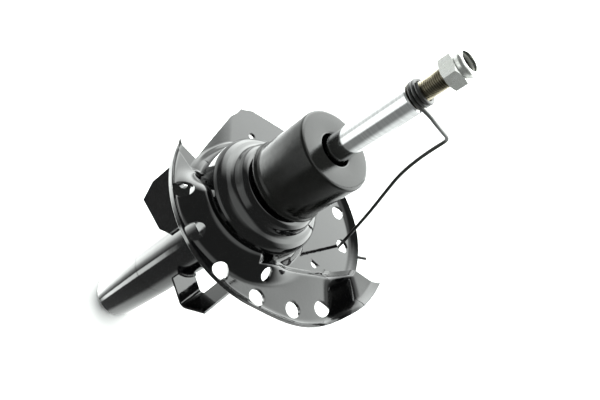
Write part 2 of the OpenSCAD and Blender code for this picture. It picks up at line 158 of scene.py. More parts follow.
class Finish:
    """A surface finish, built node by node."""

    def __init__(self, tree, shader):
        self.tree = tree
        self.tree.nodes.clear()
        self.shader = self.node(shader)

    def node(self, kind, settings=None, inputs=None):
        node = self.tree.nodes.new("ShaderNode" + kind)
        for key, value in (settings or {}).items():
            setattr(node, key, value)
        self.feed(node, inputs or {})
        return node

    def feed(self, node, inputs):
        for key, value in inputs.items():
            if isinstance(value, Reading):
                self.tree.links.new(value.socket, node.inputs[key])
            else:
                node.inputs[key].default_value = value

    def add(self, kind, settings=None, inputs=None, out=0):
        return Reading(self, self.node(kind, settings, inputs).outputs[out])

    def place(self):
        return self.add("TexCoord", out="Object")

    def stretched(self, scale):
        return self.add("Mapping", None, {"Vector": self.place(), "Scale": scale})

    def noise(self, scale, detail, vector=None, rough=0.5):
        source = vector or self.place()
        inputs = {"Vector": source, "Scale": scale, "Detail": detail, "Roughness": rough}
        return self.add("TexNoise", None, inputs)

    def spots(self, scale):
        return self.add("TexVoronoi", {"feature": "F1"}, {"Vector": self.place(), "Scale": scale})

    def ranged(self, value, low, high, out_low=0.0, out_high=1.0):
        return self.add(
            "MapRange",
            {"interpolation_type": "SMOOTHSTEP"},
            {0: value, 1: low, 2: high, 3: out_low, 4: out_high},
        )

    def coordinate(self, axis):
        return self.add("SeparateXYZ", None, {0: self.place()}, out="XYZ".index(axis))

    def mixed(self, factor, first, second):
        inputs = {0: factor, 6: self.colour(first), 7: self.colour(second)}
        return self.add("Mix", {"data_type": "RGBA"}, inputs, out=2)

    def colour(self, value):
        return value if isinstance(value, Reading) else (*value, 1)

    def bump(self, height, distance):
        return self.add("Bump", None, {"Height": height, "Distance": distance})


def material(name, metallic=0.0, ior=1.5):
    made = bpy.data.materials.new(name)
    made.use_nodes = True
    finish = Finish(made.node_tree, "BsdfPrincipled")
    finish.feed(finish.shader, {"Metallic": metallic, "IOR": ior})
    out = finish.node("OutputMaterial")
    finish.tree.links.new(finish.shader.outputs[0], out.inputs[0])
    finish.material = made
    return finish


def gloss_black(name, haze=0.05, peel=0.00006):
    """Deep black stove enamel with a faint orange peel and dust haze."""
    finish = material(name)
    sway = finish.noise(38, 1.0)
    peel_height = finish.noise(420, 2.0) * 0.35 + sway * 2.2
    dust = finish.ranged(finish.noise(140, 5.0, rough=0.7), 0.45, 0.8)
    specks = finish.ranged(finish.spots(520), 0.0, 0.09, 1.0, 0.0)
    enamel, dusty = (0.0016, 0.0016, 0.0018), (0.007, 0.007, 0.0068)
    finish.feed(
        finish.shader,
        {
            "Base Color": finish.mixed(dust * 0.6 + specks * 0.2, enamel, dusty),
            "Roughness": dust * 0.07 + haze,
            "Normal": finish.bump(peel_height, peel),
        },
    )
    return finish.material


def satin_cap():
    """Moulded black nylon: a soft sheen over fine mould texture."""
    finish = material("cap_plastic", ior=1.35)
    grain = finish.noise(1600, 3.0)
    cloud = finish.noise(60, 4.0, rough=0.6)
    dark, light = (0.003, 0.0032, 0.0028), (0.0055, 0.0057, 0.005)
    finish.feed(
        finish.shader,
        {
            "Base Color": finish.mixed(finish.ranged(cloud, 0.3, 0.7), dark, light),
            "Roughness": finish.ranged(cloud, 0.3, 0.75, 0.09, 0.15),
            "Normal": finish.bump(grain + cloud * 2.0, 0.00005),
        },
    )
    return finish.material


def rod_metal():
    """Hard-chromed ground rod below the shoulder, oiled phosphate on the threaded stud above it, with
    painted shade darkening the stud's top end where the nut's bore lies in shadow.
    """
    finish = material("chrome_rod", metallic=1.0)
    height = finish.coordinate("Z")
    stud = finish.ranged(height, SHOULDER - 0.3 * MM, SHOULDER + 0.1 * MM)
    grind = finish.noise(60, 3.0, vector=finish.stretched((1, 1, 22)))
    wear = finish.noise(90, 4.0)
    chrome = finish.mixed(finish.ranged(grind, 0.3, 0.75), (0.72, 0.73, 0.735), (0.84, 0.85, 0.855))
    phosphate = finish.mixed(finish.ranged(wear, 0.35, 0.7), (0.10, 0.088, 0.06), (0.22, 0.2, 0.15))
    # painted shade: the stud's top end turns near black, standing in for the shadow inside the nut's bore
    end = finish.ranged(height, STUD_TOP - 0.9 * MM, STUD_TOP - 0.1 * MM)
    phosphate = finish.mixed(end, phosphate, (0.02, 0.02, 0.018))
    finish.feed(
        finish.shader,
        {
            "Base Color": finish.mixed(stud, chrome, phosphate),
            "Roughness": grind * 0.03 + 0.09 + stud * 0.22,
            "Normal": finish.bump(wear * stud, 0.00002),
        },
    )
    return finish.material


def plated(name, bright, dull, roughness, spread=0.12, scale=120, bump=0.00002):
    """A plated or plain metal whose tone and sheen drift from place to place."""
    finish = material(name, metallic=1.0)
    cloud = finish.noise(scale, 5.0, rough=0.65)
    fine = finish.noise(scale * 14, 2.0)
    stain = finish.ranged(cloud, 0.3, 0.72)
    finish.feed(
        finish.shader,
        {
            "Base Color": finish.mixed(stain, bright, dull),
            "Roughness": stain * spread + roughness,
            "Normal": finish.bump(fine + cloud, bump),
        },
    )
    return finish.material


def moulded(name, light, dark, roughness, scale=200):
    """A moulded polymer or rubber with a faint mottle."""
    finish = material(name)
    mottle = finish.noise(scale, 4.0, rough=0.6)
    finish.feed(
        finish.shader,
        {
            "Base Color": finish.mixed(finish.ranged(mottle, 0.3, 0.7), light, dark),
            "Roughness": mottle * 0.15 + roughness,
            "Normal": finish.bump(finish.noise(scale * 9, 2.0), 0.00003),
        },
    )
    return finish.material


FINISHES = {
    "gloss_black": gloss_black("gloss_black"),
    "weld_black": gloss_black("weld_black", haze=0.12, peel=0.00012),
    "satin_black_cap": satin_cap(),
    "bright_steel": plated("bright_steel", (0.58, 0.58, 0.57), (0.42, 0.42, 0.42), 0.2),
    "sintered_steel": plated(
        "sintered_steel", (0.30, 0.295, 0.285), (0.21, 0.205, 0.20), 0.42, bump=0.00006
    ),
    "spring_steel": plated("spring_steel", (0.45, 0.46, 0.48), (0.34, 0.35, 0.38), 0.18),
    "bronze_bush": plated("bronze_bush", (0.46, 0.29, 0.13), (0.32, 0.2, 0.1), 0.3),
    "seal_rubber": moulded("seal_rubber", (0.02, 0.02, 0.02), (0.035, 0.034, 0.033), 0.5),
    "chrome_rod": rod_metal(),
    "ptfe_band": moulded("ptfe_band", (0.26, 0.2, 0.13), (0.2, 0.15, 0.1), 0.35),
    "stop_plastic": moulded("stop_plastic", (0.66, 0.61, 0.48), (0.56, 0.52, 0.4), 0.35),
    "zinc_plate": plated("zinc_plate", (0.74, 0.75, 0.73), (0.56, 0.57, 0.54), 0.16, spread=0.2, scale=260),
    "nylon": moulded("nylon", (0.62, 0.62, 0.58), (0.5, 0.5, 0.47), 0.3),
    "black_wire": moulded("black_wire", (0.006, 0.006, 0.006), (0.016, 0.015, 0.014), 0.3, scale=420),
}


def give(piece, finish):
    piece.data.materials.clear()
    piece.data.materials.append(FINISHES[finish])


# ---------------------------------------------------------------- bench tools


def clear_selection():
    if bpy.context.object and bpy.context.object.mode != "OBJECT":
        bpy.ops.object.mode_set(mode="OBJECT")
    bpy.ops.object.select_all(action="DESELECT")


def hold(piece):
    clear_selection()
    piece.select_set(True)
    bpy.context.view_layer.objects.active = piece


def edit(piece, select="SELECT"):
    hold(piece)
    bpy.ops.object.mode_set(mode="EDIT")
    bpy.ops.mesh.select_mode(type="VERT")
    bpy.ops.mesh.select_all(action=select)


def leave():
    bpy.ops.object.mode_set(mode="OBJECT")


def select_faces(piece, wanted):
    """Selects the faces for which wanted(face) holds, in edit mode."""
    edit(piece, "DESELECT")
    bpy.ops.mesh.select_mode(type="FACE")
    leave()
    for face in piece.data.polygons:
        face.select = bool(wanted(face))
    bpy.ops.object.mode_set(mode="EDIT")


def select_vertices(piece, wanted):
    edit(piece, "DESELECT")
    leave()
    for vertex in piece.data.vertices:
        vertex.select = bool(wanted(vertex.co))
    bpy.ops.object.mode_set(mode="EDIT")


def place_vertices(piece, places):
    piece.data.vertices.foreach_set("co", np.asarray(places, np.float32).ravel())
    piece.data.update()


def settle(piece):
    """Brings the piece's object to the origin, unturned and unscaled."""
    hold(piece)
    bpy.ops.object.transform_apply(location=True, rotation=True, scale=True)


def apply_modifier(piece, kind, **settings):
    hold(piece)
    bpy.ops.object.modifier_add(type=kind)
    modifier = piece.modifiers[-1]
    for key, value in settings.items():
        setattr(modifier, key, value)
    bpy.ops.object.modifier_apply(modifier=modifier.name)


def drawn(name, points, closed=True):
    """A line of edges through points, extruded from one vertex to the next."""
    clear_selection()
    bpy.ops.mesh.primitive_plane_add(size=MM, location=points[0])
    piece = bpy.context.object
    piece.name = name
    settle(piece)
    edit(piece)
    bpy.ops.mesh.merge(type="CENTER")
    for start, end in zip(points, points[1:] + (points[:1] if closed else [])):
        step = Vector(end) - Vector(start)
        bpy.ops.mesh.extrude_vertices_move(TRANSFORM_OT_translate={"value": step})
    bpy.ops.mesh.select_all(action="SELECT")
    bpy.ops.mesh.remove_doubles(threshold=TOUCH)
    leave()
    return piece


def turned(name, outline, steps, rounding=0.0, arc=2):
    """Spins an outline of (radius, height) points into a round piece."""
    on_axis = outline[0][0] == 0 and outline[-1][0] == 0
    piece = drawn(name, [(r, 0, z) for r, z in outline], closed=not on_axis)
    if rounding:
        select_vertices(piece, lambda co: co.x > 0.01 * MM)
        bpy.ops.mesh.bevel(offset=rounding, segments=arc, affect="VERTICES", clamp_overlap=True)
    edit(piece)
    bpy.ops.mesh.spin(steps=steps, angle=2 * math.pi, center=(0, 0, 0), axis=(0, 0, 1))
    bpy.ops.mesh.select_all(action="SELECT")
    bpy.ops.mesh.remove_doubles(threshold=2 * TOUCH)
    bpy.ops.mesh.normals_make_consistent(inside=False)
    leave()
    return piece


def cut_plate(name, outline, thickness):
    """A flat plate: an outline filled and drawn out by its thickness."""
    piece = drawn(name, outline)
    edit(piece)
    bpy.ops.mesh.edge_face_add()
    bpy.ops.mesh.extrude_region_move(TRANSFORM_OT_translate={"value": thickness})
    bpy.ops.mesh.select_all(action="SELECT")
    bpy.ops.mesh.normals_make_consistent(inside=False)
    leave()
    return piece


def cut(piece, tool, operation="DIFFERENCE"):
    """Works one piece with another, which is used up."""
    apply_modifier(piece, "BOOLEAN", object=tool, operation=operation, solver="EXACT")
    bpy.data.objects.remove(tool)


def ease_edges(piece, width, segments=2, angle=40):
    """Rounds the edges that turn by more than an angle."""
    limit = {"limit_method": "ANGLE", "angle_limit": math.radians(angle)}
    apply_modifier(piece, "BEVEL", width=width, segments=segments, **limit)


def bar(radius, low, high, sides):
    """A plain round tool on the strut's axis, from low to high."""
    clear_selection()
    bpy.ops.mesh.primitive_cylinder_add(
        vertices=sides, radius=radius, depth=high - low, location=(0, 0, (low + high) / 2)
    )
    tool = bpy.context.object
    settle(tool)
    return tool


def turned_copy(piece, angle):
    """A copy with its own mesh, turned about the strut's axis."""
    hold(piece)
    bpy.ops.object.duplicate()
    copy = bpy.context.object
    copy.rotation_euler = (0, 0, angle)
    settle(copy)
    return copy


def joined(name, *parts):
    clear_selection()
    for part in parts:
        part.select_set(True)
    bpy.context.view_layer.objects.active = parts[0]
    bpy.ops.object.join()
    parts[0].name = name
    return parts[0]


def swept(name, points, radii, sides=5, smooth=True):
    """A round bar bent along points, with a radius at each point."""
    line = bpy.data.curves.new(name, "CURVE")
    line.dimensions = "3D"
    line.bevel_depth = 1
    line.bevel_resolution = sides
    line.resolution_u = 3
    line.use_fill_caps = True
    spline = line.splines.new("NURBS" if smooth else "POLY")
    spline.points.add(len(points) - 1)
    for point, place, radius in zip(spline.points, points, radii):
        point.co = (*place, 1)
        point.radius = radius
    if smooth:
        spline.order_u = 4
        spline.use_endpoint_u = True
    piece = bpy.data.objects.new(name, line)
    bpy.context.scene.collection.objects.link(piece)
    hold(piece)
    bpy.ops.object.convert(target="MESH")
    return bpy.context.object


def finished(piece, body, finish, angle=38, *, flats=False, stands_for=()):
    """Settles a piece, smooths it, gives it its finish and fixes it to its body."""
    settle(piece)
    bpy.ops.object.shade_smooth_by_angle(angle=math.radians(angle))
    if flats:
        apply_modifier(piece, "WEIGHTED_NORMAL", keep_sharp=True)
    give(piece, finish)
    if stands_for:
        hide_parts(*stands_for)
    if body:
        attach(piece, body)
    return piece


def ease(t):
    c = np.clip(t, 0, 1)
    return c * c * (3 - 2 * c)


def mix(a, b, t):
    return a + (b - a) * t


def beyond(x, y, line):
    """Distance beyond a line, given by a point on it and the direction across it."""
    (line_x, line_y), (across_x, across_y) = line
    return (x - line_x) * across_x + (y - line_y) * across_y


def around(a, r):
    """Place at azimuth a, in degrees, and radius r."""
    return r * np.cos(np.radians(a)), r * np.sin(np.radians(a))


def weld_bead(name, points, radius=1.6 * MM):
    """A run of weld with its ripples, laid along points."""
    step, ripple, end_share = 0.45 * MM, 2.2 * MM, 0.7
    line = [Vector(p) for p in points]
    laid, radii, run = [], [], 0.0
    for start, end in zip(line, line[1:]):
        length = (end - start).length
        count = max(2, int(length / step))
        for k in range(count):
            laid.append(start.lerp(end, k / count))
            swell = 0.14 * math.sin(2 * math.pi * run / ripple) + 0.05 * math.sin(run * 900)
            radii.append(radius * (1 + swell))
            run += length / count
    laid.append(line[-1])
    radii.append(radius * end_share)
    radii[0] = radius * end_share
    bead = swept(name, laid, radii, sides=4, smooth=False)
    finished(bead, "tube_assembly", "weld_black")


# ---------------------------------------------------------------- tube and neck


def make_tube():
    outline = [
        (SPIGOT_R - TUBE_WALL, 0),
        (SPIGOT_R - 0.9 * MM, 0),
        (SPIGOT_R, 0.9 * MM),
        (SPIGOT_R, SPIGOT_TOP),
        (TUBE_R, SPIGOT_TOP + 0.8 * MM),
        (TUBE_R, TUBE_TOP - 1.2 * MM),
        (TUBE_R - 1 * MM, TUBE_TOP),
        (SPIGOT_R - TUBE_WALL, TUBE_TOP),
    ]
    tube = turned("tube_shell", outline, steps=192, rounding=0.3 * MM)
    finished(tube, "tube_assembly", "gloss_black", stands_for=["outer_tube"])


def make_neck():
    """The pressed sleeve: two stepped shoulders between the plate and the tube."""
    step = NECK_TOP - 17.5 * MM
    middle = TUBE_R + 14.1 * MM
    wall = SHEET
    outer = [
        (NECK_R, NECK_BOTTOM),
        (NECK_R, step - 7 * MM),
        (NECK_R - 0.6 * MM, step - 4 * MM),
        (NECK_R - 2.6 * MM, step - 0.6 * MM),
        (NECK_R - 6 * MM, step + 1.6 * MM),
        (middle + 3.2 * MM, step + 2.8 * MM),
        (middle + 0.8 * MM, step + 4.2 * MM),
        (middle, step + 7 * MM),
        (middle - 0.4 * MM, NECK_TOP - 8.4 * MM),
        (middle - 1.4 * MM, NECK_TOP - 5.2 * MM),
        (middle - 4 * MM, NECK_TOP - 3 * MM),
        (TUBE_R + 5 * MM, NECK_TOP - 1.2 * MM),
        (TUBE_R + 1.4 * MM, NECK_TOP - 0.2 * MM),
        (TUBE_R + 0.2 * MM, NECK_TOP),
    ]
    inner = [
        (TUBE_R + 0.2 * MM, NECK_TOP - 8 * MM),
        (TUBE_R + 4 * MM, NECK_TOP - wall - 2 * MM),
        (middle - wall - 1.5 * MM, NECK_TOP - wall - 5 * MM),
        (middle - wall, NECK_TOP - wall - 6 * MM),
        (middle - wall, step + 2 * MM),
        (middle - wall + 2 * MM, step),
        (NECK_R - wall - 3 * MM, step - 2 * MM),
        (NECK_R - wall, step - 6 * MM),
        (NECK_R - wall, NECK_BOTTOM),
    ]
    neck = turned("neck_sleeve", outer + inner, steps=192, rounding=1.0 * MM, arc=3)
    finished(neck, "tube_assembly", "gloss_black", stands_for=["seat_neck"])
    ring_r, ring_z = TUBE_R + 0.8 * MM, NECK_TOP - 0.2 * MM
    turn = np.linspace(0, 2 * math.pi, 49)
    ring = [(ring_r * math.cos(a), ring_r * math.sin(a), ring_z) for a in turn]
    weld_bead("neck_weld", ring, radius=1.5 * MM)


def make_rib(inside, gap, low, high):
    """One rib across the gap between the cap and the tube, cut back at its foot."""
    deep, width = gap + 0.8 * MM, 2.4 * MM
    sunk, lead_in = 0.6 * MM, 1.2 * MM
    clear_selection()
    place = ((TUBE_R + inside) / 2 + sunk, 0, (low + high) / 2)
    bpy.ops.mesh.primitive_cube_add(size=1, location=place)
    rib = bpy.context.object
    rib.scale = (deep, width, high - low)
    settle(rib)
    edit(rib)
    bpy.ops.mesh.subdivide(number_cuts=1)
    leave()
    for vertex in rib.data.vertices:
        if vertex.co.z < low + 1 * MM and vertex.co.x < TUBE_R + gap / 2:
            vertex.co.x += lead_in
    return rib


def make_cap():
    """The bump stop cap, with the ribs that grip the tube."""
    gap, wall = 5 * MM, 3 * MM
    inside = TUBE_R + gap
    outside = inside + wall
    hole = ROD_R + 2.5 * MM
    outline = [
        (inside, CAP_BOTTOM),
        (CAP_LIP_R, CAP_BOTTOM),
        (CAP_LIP_R, CAP_BOTTOM + 2.2 * MM),
        (outside + 0.3 * MM, CAP_BOTTOM + 4 * MM),
        (outside, CAP_BOTTOM + 7 * MM),
        (outside, CAP_TOP - 2.2 * MM),
        (outside - 0.7 * MM, CAP_TOP - 0.6 * MM),
        (outside - 2.4 * MM, CAP_TOP),
        (hole + 1.2 * MM, CAP_TOP),
        (hole, CAP_TOP - 1.0 * MM),
        (hole, CAP_TOP - wall),
        (inside, CAP_TOP - wall),
    ]
    cup = turned("cap_cup", outline, steps=192, rounding=0.6 * MM, arc=3)
    rib = make_rib(inside, gap, CAP_BOTTOM + 6 * MM, CAP_TOP - wall)
    rib_count = 8
    turns = [2 * math.pi * k / rib_count for k in range(1, rib_count)]
    ribs = [rib] + [turned_copy(rib, angle) for angle in turns]
    cap = joined("bump_cap", cup, *ribs)
    finished(cap, "tube_assembly", "satin_black_cap", stands_for=["bump_stop_cap"])


# ---------------------------------------------------------------- spring seat


class Seat:
    """Levels and outline of the pressed spring seat, in millimetres and degrees."""

    radius = 98.0
    centre = (-17.0, 12.0)
    level = PLATFORM / MM
    pitch = 36.0
    neck = NECK_R / MM
    notch = -75.0
    tongue_end = 110.3
    valley = 8.5
    crease = 28.0
    # the tongue is a shelf: its slope starts shelf_in inside the rim and is shelf_w wide
    shelf_in = 38.0
    shelf_w = 16.0
    shelf_share = 0.79
    tongue_h = 19.0
    # how far the outline stands out beyond the rim circle, or in from it at the corner
    tongue_flare = 12.0
    back_flare = 4.0
    wing_flare = 8.0
    corner_ease = 5.4
    corner_a = 234.0
    # straight stretches of the outline: distance from the axis, and azimuth they face
    chord, chord_a = radius + 2.5, 218.5
    notch_line, notch_line_a = neck + 8.1, 288.4
    # width and height of the rolled rim, in front and behind
    rim_w, rim_h = 7.0, 5.0
    back_rim_w, back_rim_h = 9.0, 6.0
    # radii where the grid starts inside the neck, and where its flat starts outside it
    hub, foot, flat_from = 51.0, 58.0, 59.0
    # lines where the ledge drops to the platform, and where the platform dips
    brow, brow_w = ((24.7, 56.6), (0.613, 0.79)), 10.0
    dip, dip_w = ((-11.4, -43.8), (0.714, -0.7)), 26.0
    # the row of drains along the rim
    drain_ring = radius - 11.5
    drain_first, drain_pitch = -36.5, 23.6

    @classmethod
    def reach(cls, a, r):
        """How far the rim circle of radius r is from the strut's axis at azimuth a."""
        cx, cy = cls.centre
        d = np.cos(np.radians(a)) * cx + np.sin(np.radians(a)) * cy
        return d + np.sqrt(d * d - cx * cx - cy * cy + r * r)

    @classmethod
    def edge(cls, a, front):
        if front:
            return cls.reach(a, cls.radius + cls.tongue_flare * ease((a - 45) / 42))
        flare = cls.back_flare * (1 - ease((a - 135) / 30)) + cls.wing_flare * ease((a - 185) / 25)
        rim = cls.reach(a, cls.radius + flare)
        chord = cls.chord / np.maximum(np.cos(np.radians(a - cls.chord_a)), 0.2)
        notch = cls.notch_line / np.maximum(np.cos(np.radians(a - cls.notch_line_a)), 0.2)
        rim = np.where((a > 180) & (a < 250), np.minimum(rim, chord), rim)
        rim = np.where(a > 225, np.minimum(rim, notch), rim)
        return rim - cls.corner_ease * (1 - ease(np.abs(a - cls.corner_a) / 9))

    @classmethod
    def lip(cls, a, inside, front):
        """The rim's rise, by the distance inside the edge."""
        if front:
            return cls.rim_h * np.clip(1 - inside / cls.rim_w, 0, 1) ** 2
        height = cls.back_rim_h * (1 - ease((a - 180) / 16))
        return height * np.clip(1 - inside / cls.back_rim_w, 0, 1) ** 2

    @classmethod
    def shelf(cls, inside):
        return ease((cls.shelf_in - inside) / cls.shelf_w)

    @classmethod
    def tongue_rise(cls, a, inside):
        slope = np.clip(1 - inside / (cls.shelf_in - cls.shelf_w), 0, 1)
        height = cls.tongue_h * ease((a - 80 - inside / 2) / 16)
        return height * mix(slope, cls.shelf(inside), cls.shelf_share)

    @classmethod
    def on_ledge(cls, a, x, y, inside):
        """Share of the ledge, whose ends step down to the platform and to the valley."""
        step = ease(beyond(x, y, cls.brow) / cls.brow_w + 1)
        step = np.maximum(step, cls.shelf(inside) * ease((a - 90) / 10))
        step = np.maximum(step, 1 - ease((a - 42) / 14))
        fold = ease((x - cls.crease) / 3.4 + 0.5)
        return np.where(a > 40, step, np.where(a < -20, fold, 1.0))

    @classmethod
    def top(cls, a, r, front):
        """Level of the upper face at azimuth a and radius r."""
        x, y = around(a, r)
        inside = cls.edge(a, front) - r
        lip = cls.lip(a, inside, front)
        foot = 7 * (1 - ease((r - cls.neck) / 9))
        if not front:
            dip = ease(beyond(x, y, cls.dip) / cls.dip_w)
            return lip + cls.level - np.where(a > 200, cls.valley * dip, 0) + foot
        turn = np.degrees(np.arctan2(y - cls.centre[1], x - cls.centre[0]))
        ledge = cls.level + 1 + cls.pitch / 360 * turn + cls.tongue_rise(a, inside)
        share = cls.on_ledge(a, x, y, inside)
        low = np.where(a < 0, cls.level - cls.valley, cls.level)
        cone = 15 * (1 - ease((r - cls.neck) / 22)) * ease((a + 62) / 30) * (1 - ease((a - 55) / 40))
        foot_on_ledge = np.maximum(cone, foot * (1 - share))
        return lip + mix(low + foot, ledge + foot_on_ledge, share)

    @classmethod
    def split(cls, a, front):
        """Radius where the stations turn from the flat to the lip."""
        if front:
            return cls.edge(a, True) - mix(cls.rim_w, cls.shelf_in, ease((a - 66) / 20))
        end = cls.tongue_end
        first = cls.edge(np.array(end), True) - cls.shelf_in
        own = np.maximum(cls.edge(a, False) - cls.back_rim_w, cls.flat_from)
        return mix(first, own, ease((a - end) / 20))

    @classmethod
    def drain(cls, steps, out=0):
        """Centre of a drain, by steps round the rim and by how far it stands out from the row."""
        a = math.radians(cls.drain_first + steps * cls.drain_pitch)
        r = cls.drain_ring + out
        return (cls.centre[0] + r * math.cos(a), cls.centre[1] + r * math.sin(a))


def seat_half(name, front, columns):
    """One half of the sheet as a grid laid over azimuth and radius."""
    start, end = (Seat.notch, Seat.tongue_end) if front else (Seat.tongue_end, Seat.notch + 360)
    inner, flat, lip = 7, 30, 24
    stations = inner + flat + lip
    clear_selection()
    bpy.ops.mesh.primitive_grid_add(x_subdivisions=columns, y_subdivisions=stations, size=1)
    sheet = bpy.context.object
    sheet.name = name
    settle(sheet)
    grid = np.array([v.co for v in sheet.data.vertices])
    a = mix(start, end, grid[:, 0] + 0.5)
    s = (grid[:, 1] + 0.5) * stations
    split, edge = Seat.split(a, front), Seat.edge(a, front)
    on_hub = mix(Seat.hub, Seat.foot, s / inner)
    on_flat = mix(Seat.foot, split, (s - inner) / flat)
    on_lip = mix(split, edge, (s - inner - flat) / lip)
    r = np.where(s <= inner, on_hub, np.where(s <= inner + flat, on_flat, on_lip))
    if not front:
        shear_gap = 0.55 * ease((r - split) / 1.5) * (1 - ease((a - start) / 2))
        a = a + shear_gap
    x, y = around(a, r)
    place_vertices(sheet, np.column_stack([x, y, Seat.top(a, r, front)]) * MM)
    return sheet


def seat_holes():
    """Centre and radius of each hole, in millimetres."""
    row = [(k, 1.44) for k in range(4)] + [(3.94, 4.8), (4.72, 9), (7, 0), (8, 0)]
    drains = [(Seat.drain(steps, out), 7.0) for steps, out in row]
    return drains + [((-25, 74), 3.75), ((39, 52), 4.5), ((-50, -52), 3.5)]


def pierce(sheet, front):
    """Opens each hole: faces inside go, and the edge left is drawn onto the circle."""
    wrap = Seat.notch - 1e-3 if front else 100
    for (hx, hy), radius in seat_holes():
        azimuth = math.degrees(math.atan2(hy, hx)) % 360
        if (azimuth < Seat.tongue_end or azimuth > Seat.notch + 360) != front:
            continue
        middle = np.array([hx, hy]) * MM
        reach = radius * MM
        select_faces(sheet, lambda f: np.hypot(*(np.array(f.center[:2]) - middle)) < reach)
        bpy.ops.mesh.delete(type="FACE")
        leave()
        co = np.array([v.co for v in sheet.data.vertices])
        loose = co[:, :2] - middle
        far = np.hypot(loose[:, 0], loose[:, 1])
        rim = boundary(sheet) & (far < reach + 2.2 * MM)
        pull = rim | (far < reach + 0.35 * MM)
        onto = np.where(rim, reach, reach + 0.45 * MM)
        scale = np.where(pull, onto / np.maximum(far, 1e-9), 1)
        moved = np.column_stack([middle + loose * scale[:, None], co[:, 2]]) / MM
        a = np.degrees(np.arctan2(moved[:, 1], moved[:, 0]))
        a = np.where(a < wrap, a + 360, a)
        level = Seat.top(a, np.hypot(moved[:, 0], moved[:, 1]), front)
        z = np.where(pull, level, moved[:, 2])
        place_vertices(sheet, np.column_stack([moved[:, :2], z]) * MM)


def boundary(sheet):
    """True for each vertex that lies on an open edge."""
    count = {}
    for face in sheet.data.polygons:
        for key in face.edge_keys:
            count[key] = count.get(key, 0) + 1
    on_edge = np.zeros(len(sheet.data.vertices), bool)
    for (first, second), uses in count.items():
        if uses == 1:
            on_edge[[first, second]] = True
    return on_edge


def trim_edge(seat):
    """Trims the sheet upright along its outline."""
    co = np.array([v.co for v in seat.data.vertices]) / MM
    r = np.hypot(co[:, 0], co[:, 1])
    a = np.degrees(np.arctan2(co[:, 1], co[:, 0]))
    a = np.where(a < Seat.notch - 3, a + 360, a)
    limit = np.where(a < Seat.tongue_end + 0.3, Seat.edge(a, True), Seat.edge(a, False))
    scale = np.minimum(1, limit / r)
    co[:, :2] *= scale[:, None]
    place_vertices(seat, co * MM)


def make_seat():
    columns = 300
    front = seat_half("seat_front", True, columns)
    back = seat_half("seat_back", False, columns)
    pierce(front, True)
    pierce(back, False)
    seat = joined("pressed_seat", front, back)
    edit(seat)
    bpy.ops.mesh.remove_doubles(threshold=0.05 * MM)
    bpy.ops.mesh.delete_loose()
    bpy.ops.mesh.select_all(action="SELECT")
    bpy.ops.mesh.normals_make_consistent(inside=False)
    leave()
    if seat.data.polygons[len(seat.data.polygons) // 3].normal.z < 0:
        edit(seat)
        bpy.ops.mesh.flip_normals()
        leave()
    apply_modifier(seat, "SOLIDIFY", thickness=SHEET, offset=-1, use_even_offset=True)
    trim_edge(seat)
    ease_edges(seat, 0.7 * MM, segments=3, angle=50)
    finished(seat, "tube_assembly", "gloss_black", angle=50, stands_for=["spring_seat"])


# ---------------------------------------------------------------- brackets


def tube_bore():
    """The tool that fits a bracket to the tube."""
    return bar(TUBE_R - 0.4 * MM, 50 * MM, 300 * MM, sides=160)


def make_link_bracket():
    """The upright plate at the side of the tube, with its stud hole and welds."""
    side, thick = 12 * MM, 5 * MM
    top, low = PLATFORM - 19.5 * MM, PLATFORM - 101.5 * MM
    root, reach = TUBE_R - 6.4 * MM, 67 * MM
    hole_r, hole_out, hole_drop = 6.1 * MM, 50 * MM, 18 * MM
    outline = [
        (side, -root, low + 10 * MM),
        (side, -root - 10 * MM, low),
        (side, -reach + 7 * MM, low + 5 * MM),
        (side, -reach, low + 31 * MM),
        (side, -reach, top - 14 * MM),
        (side, -reach + 10 * MM, top),
        (side, -root - 11 * MM, top),
        (side, -root, top - 8 * MM),
    ]
    plate = cut_plate("link_plate", outline, (thick, 0, 0))
    tool = bar(hole_r, -20 * MM, 20 * MM, sides=64)
    tool.rotation_euler = (0, math.radians(90), 0)
    tool.location = (side + thick / 2, -hole_out, top - hole_drop)
    settle(tool)
    cut(plate, tool)
    cut(plate, tube_bore())
    ease_edges(plate, 0.6 * MM)
    finished(plate, "tube_assembly", "gloss_black", flats=True, stands_for=["link_bracket"])
    for label, x in (("front", side + thick + 0.4 * MM), ("back", side - 0.4 * MM)):
        y = -math.sqrt((TUBE_R + 0.3 * MM) ** 2 - x * x)
        weld_bead("link_weld_" + label, [(x, y, low + 12 * MM), (x, y, top - 11 * MM)])


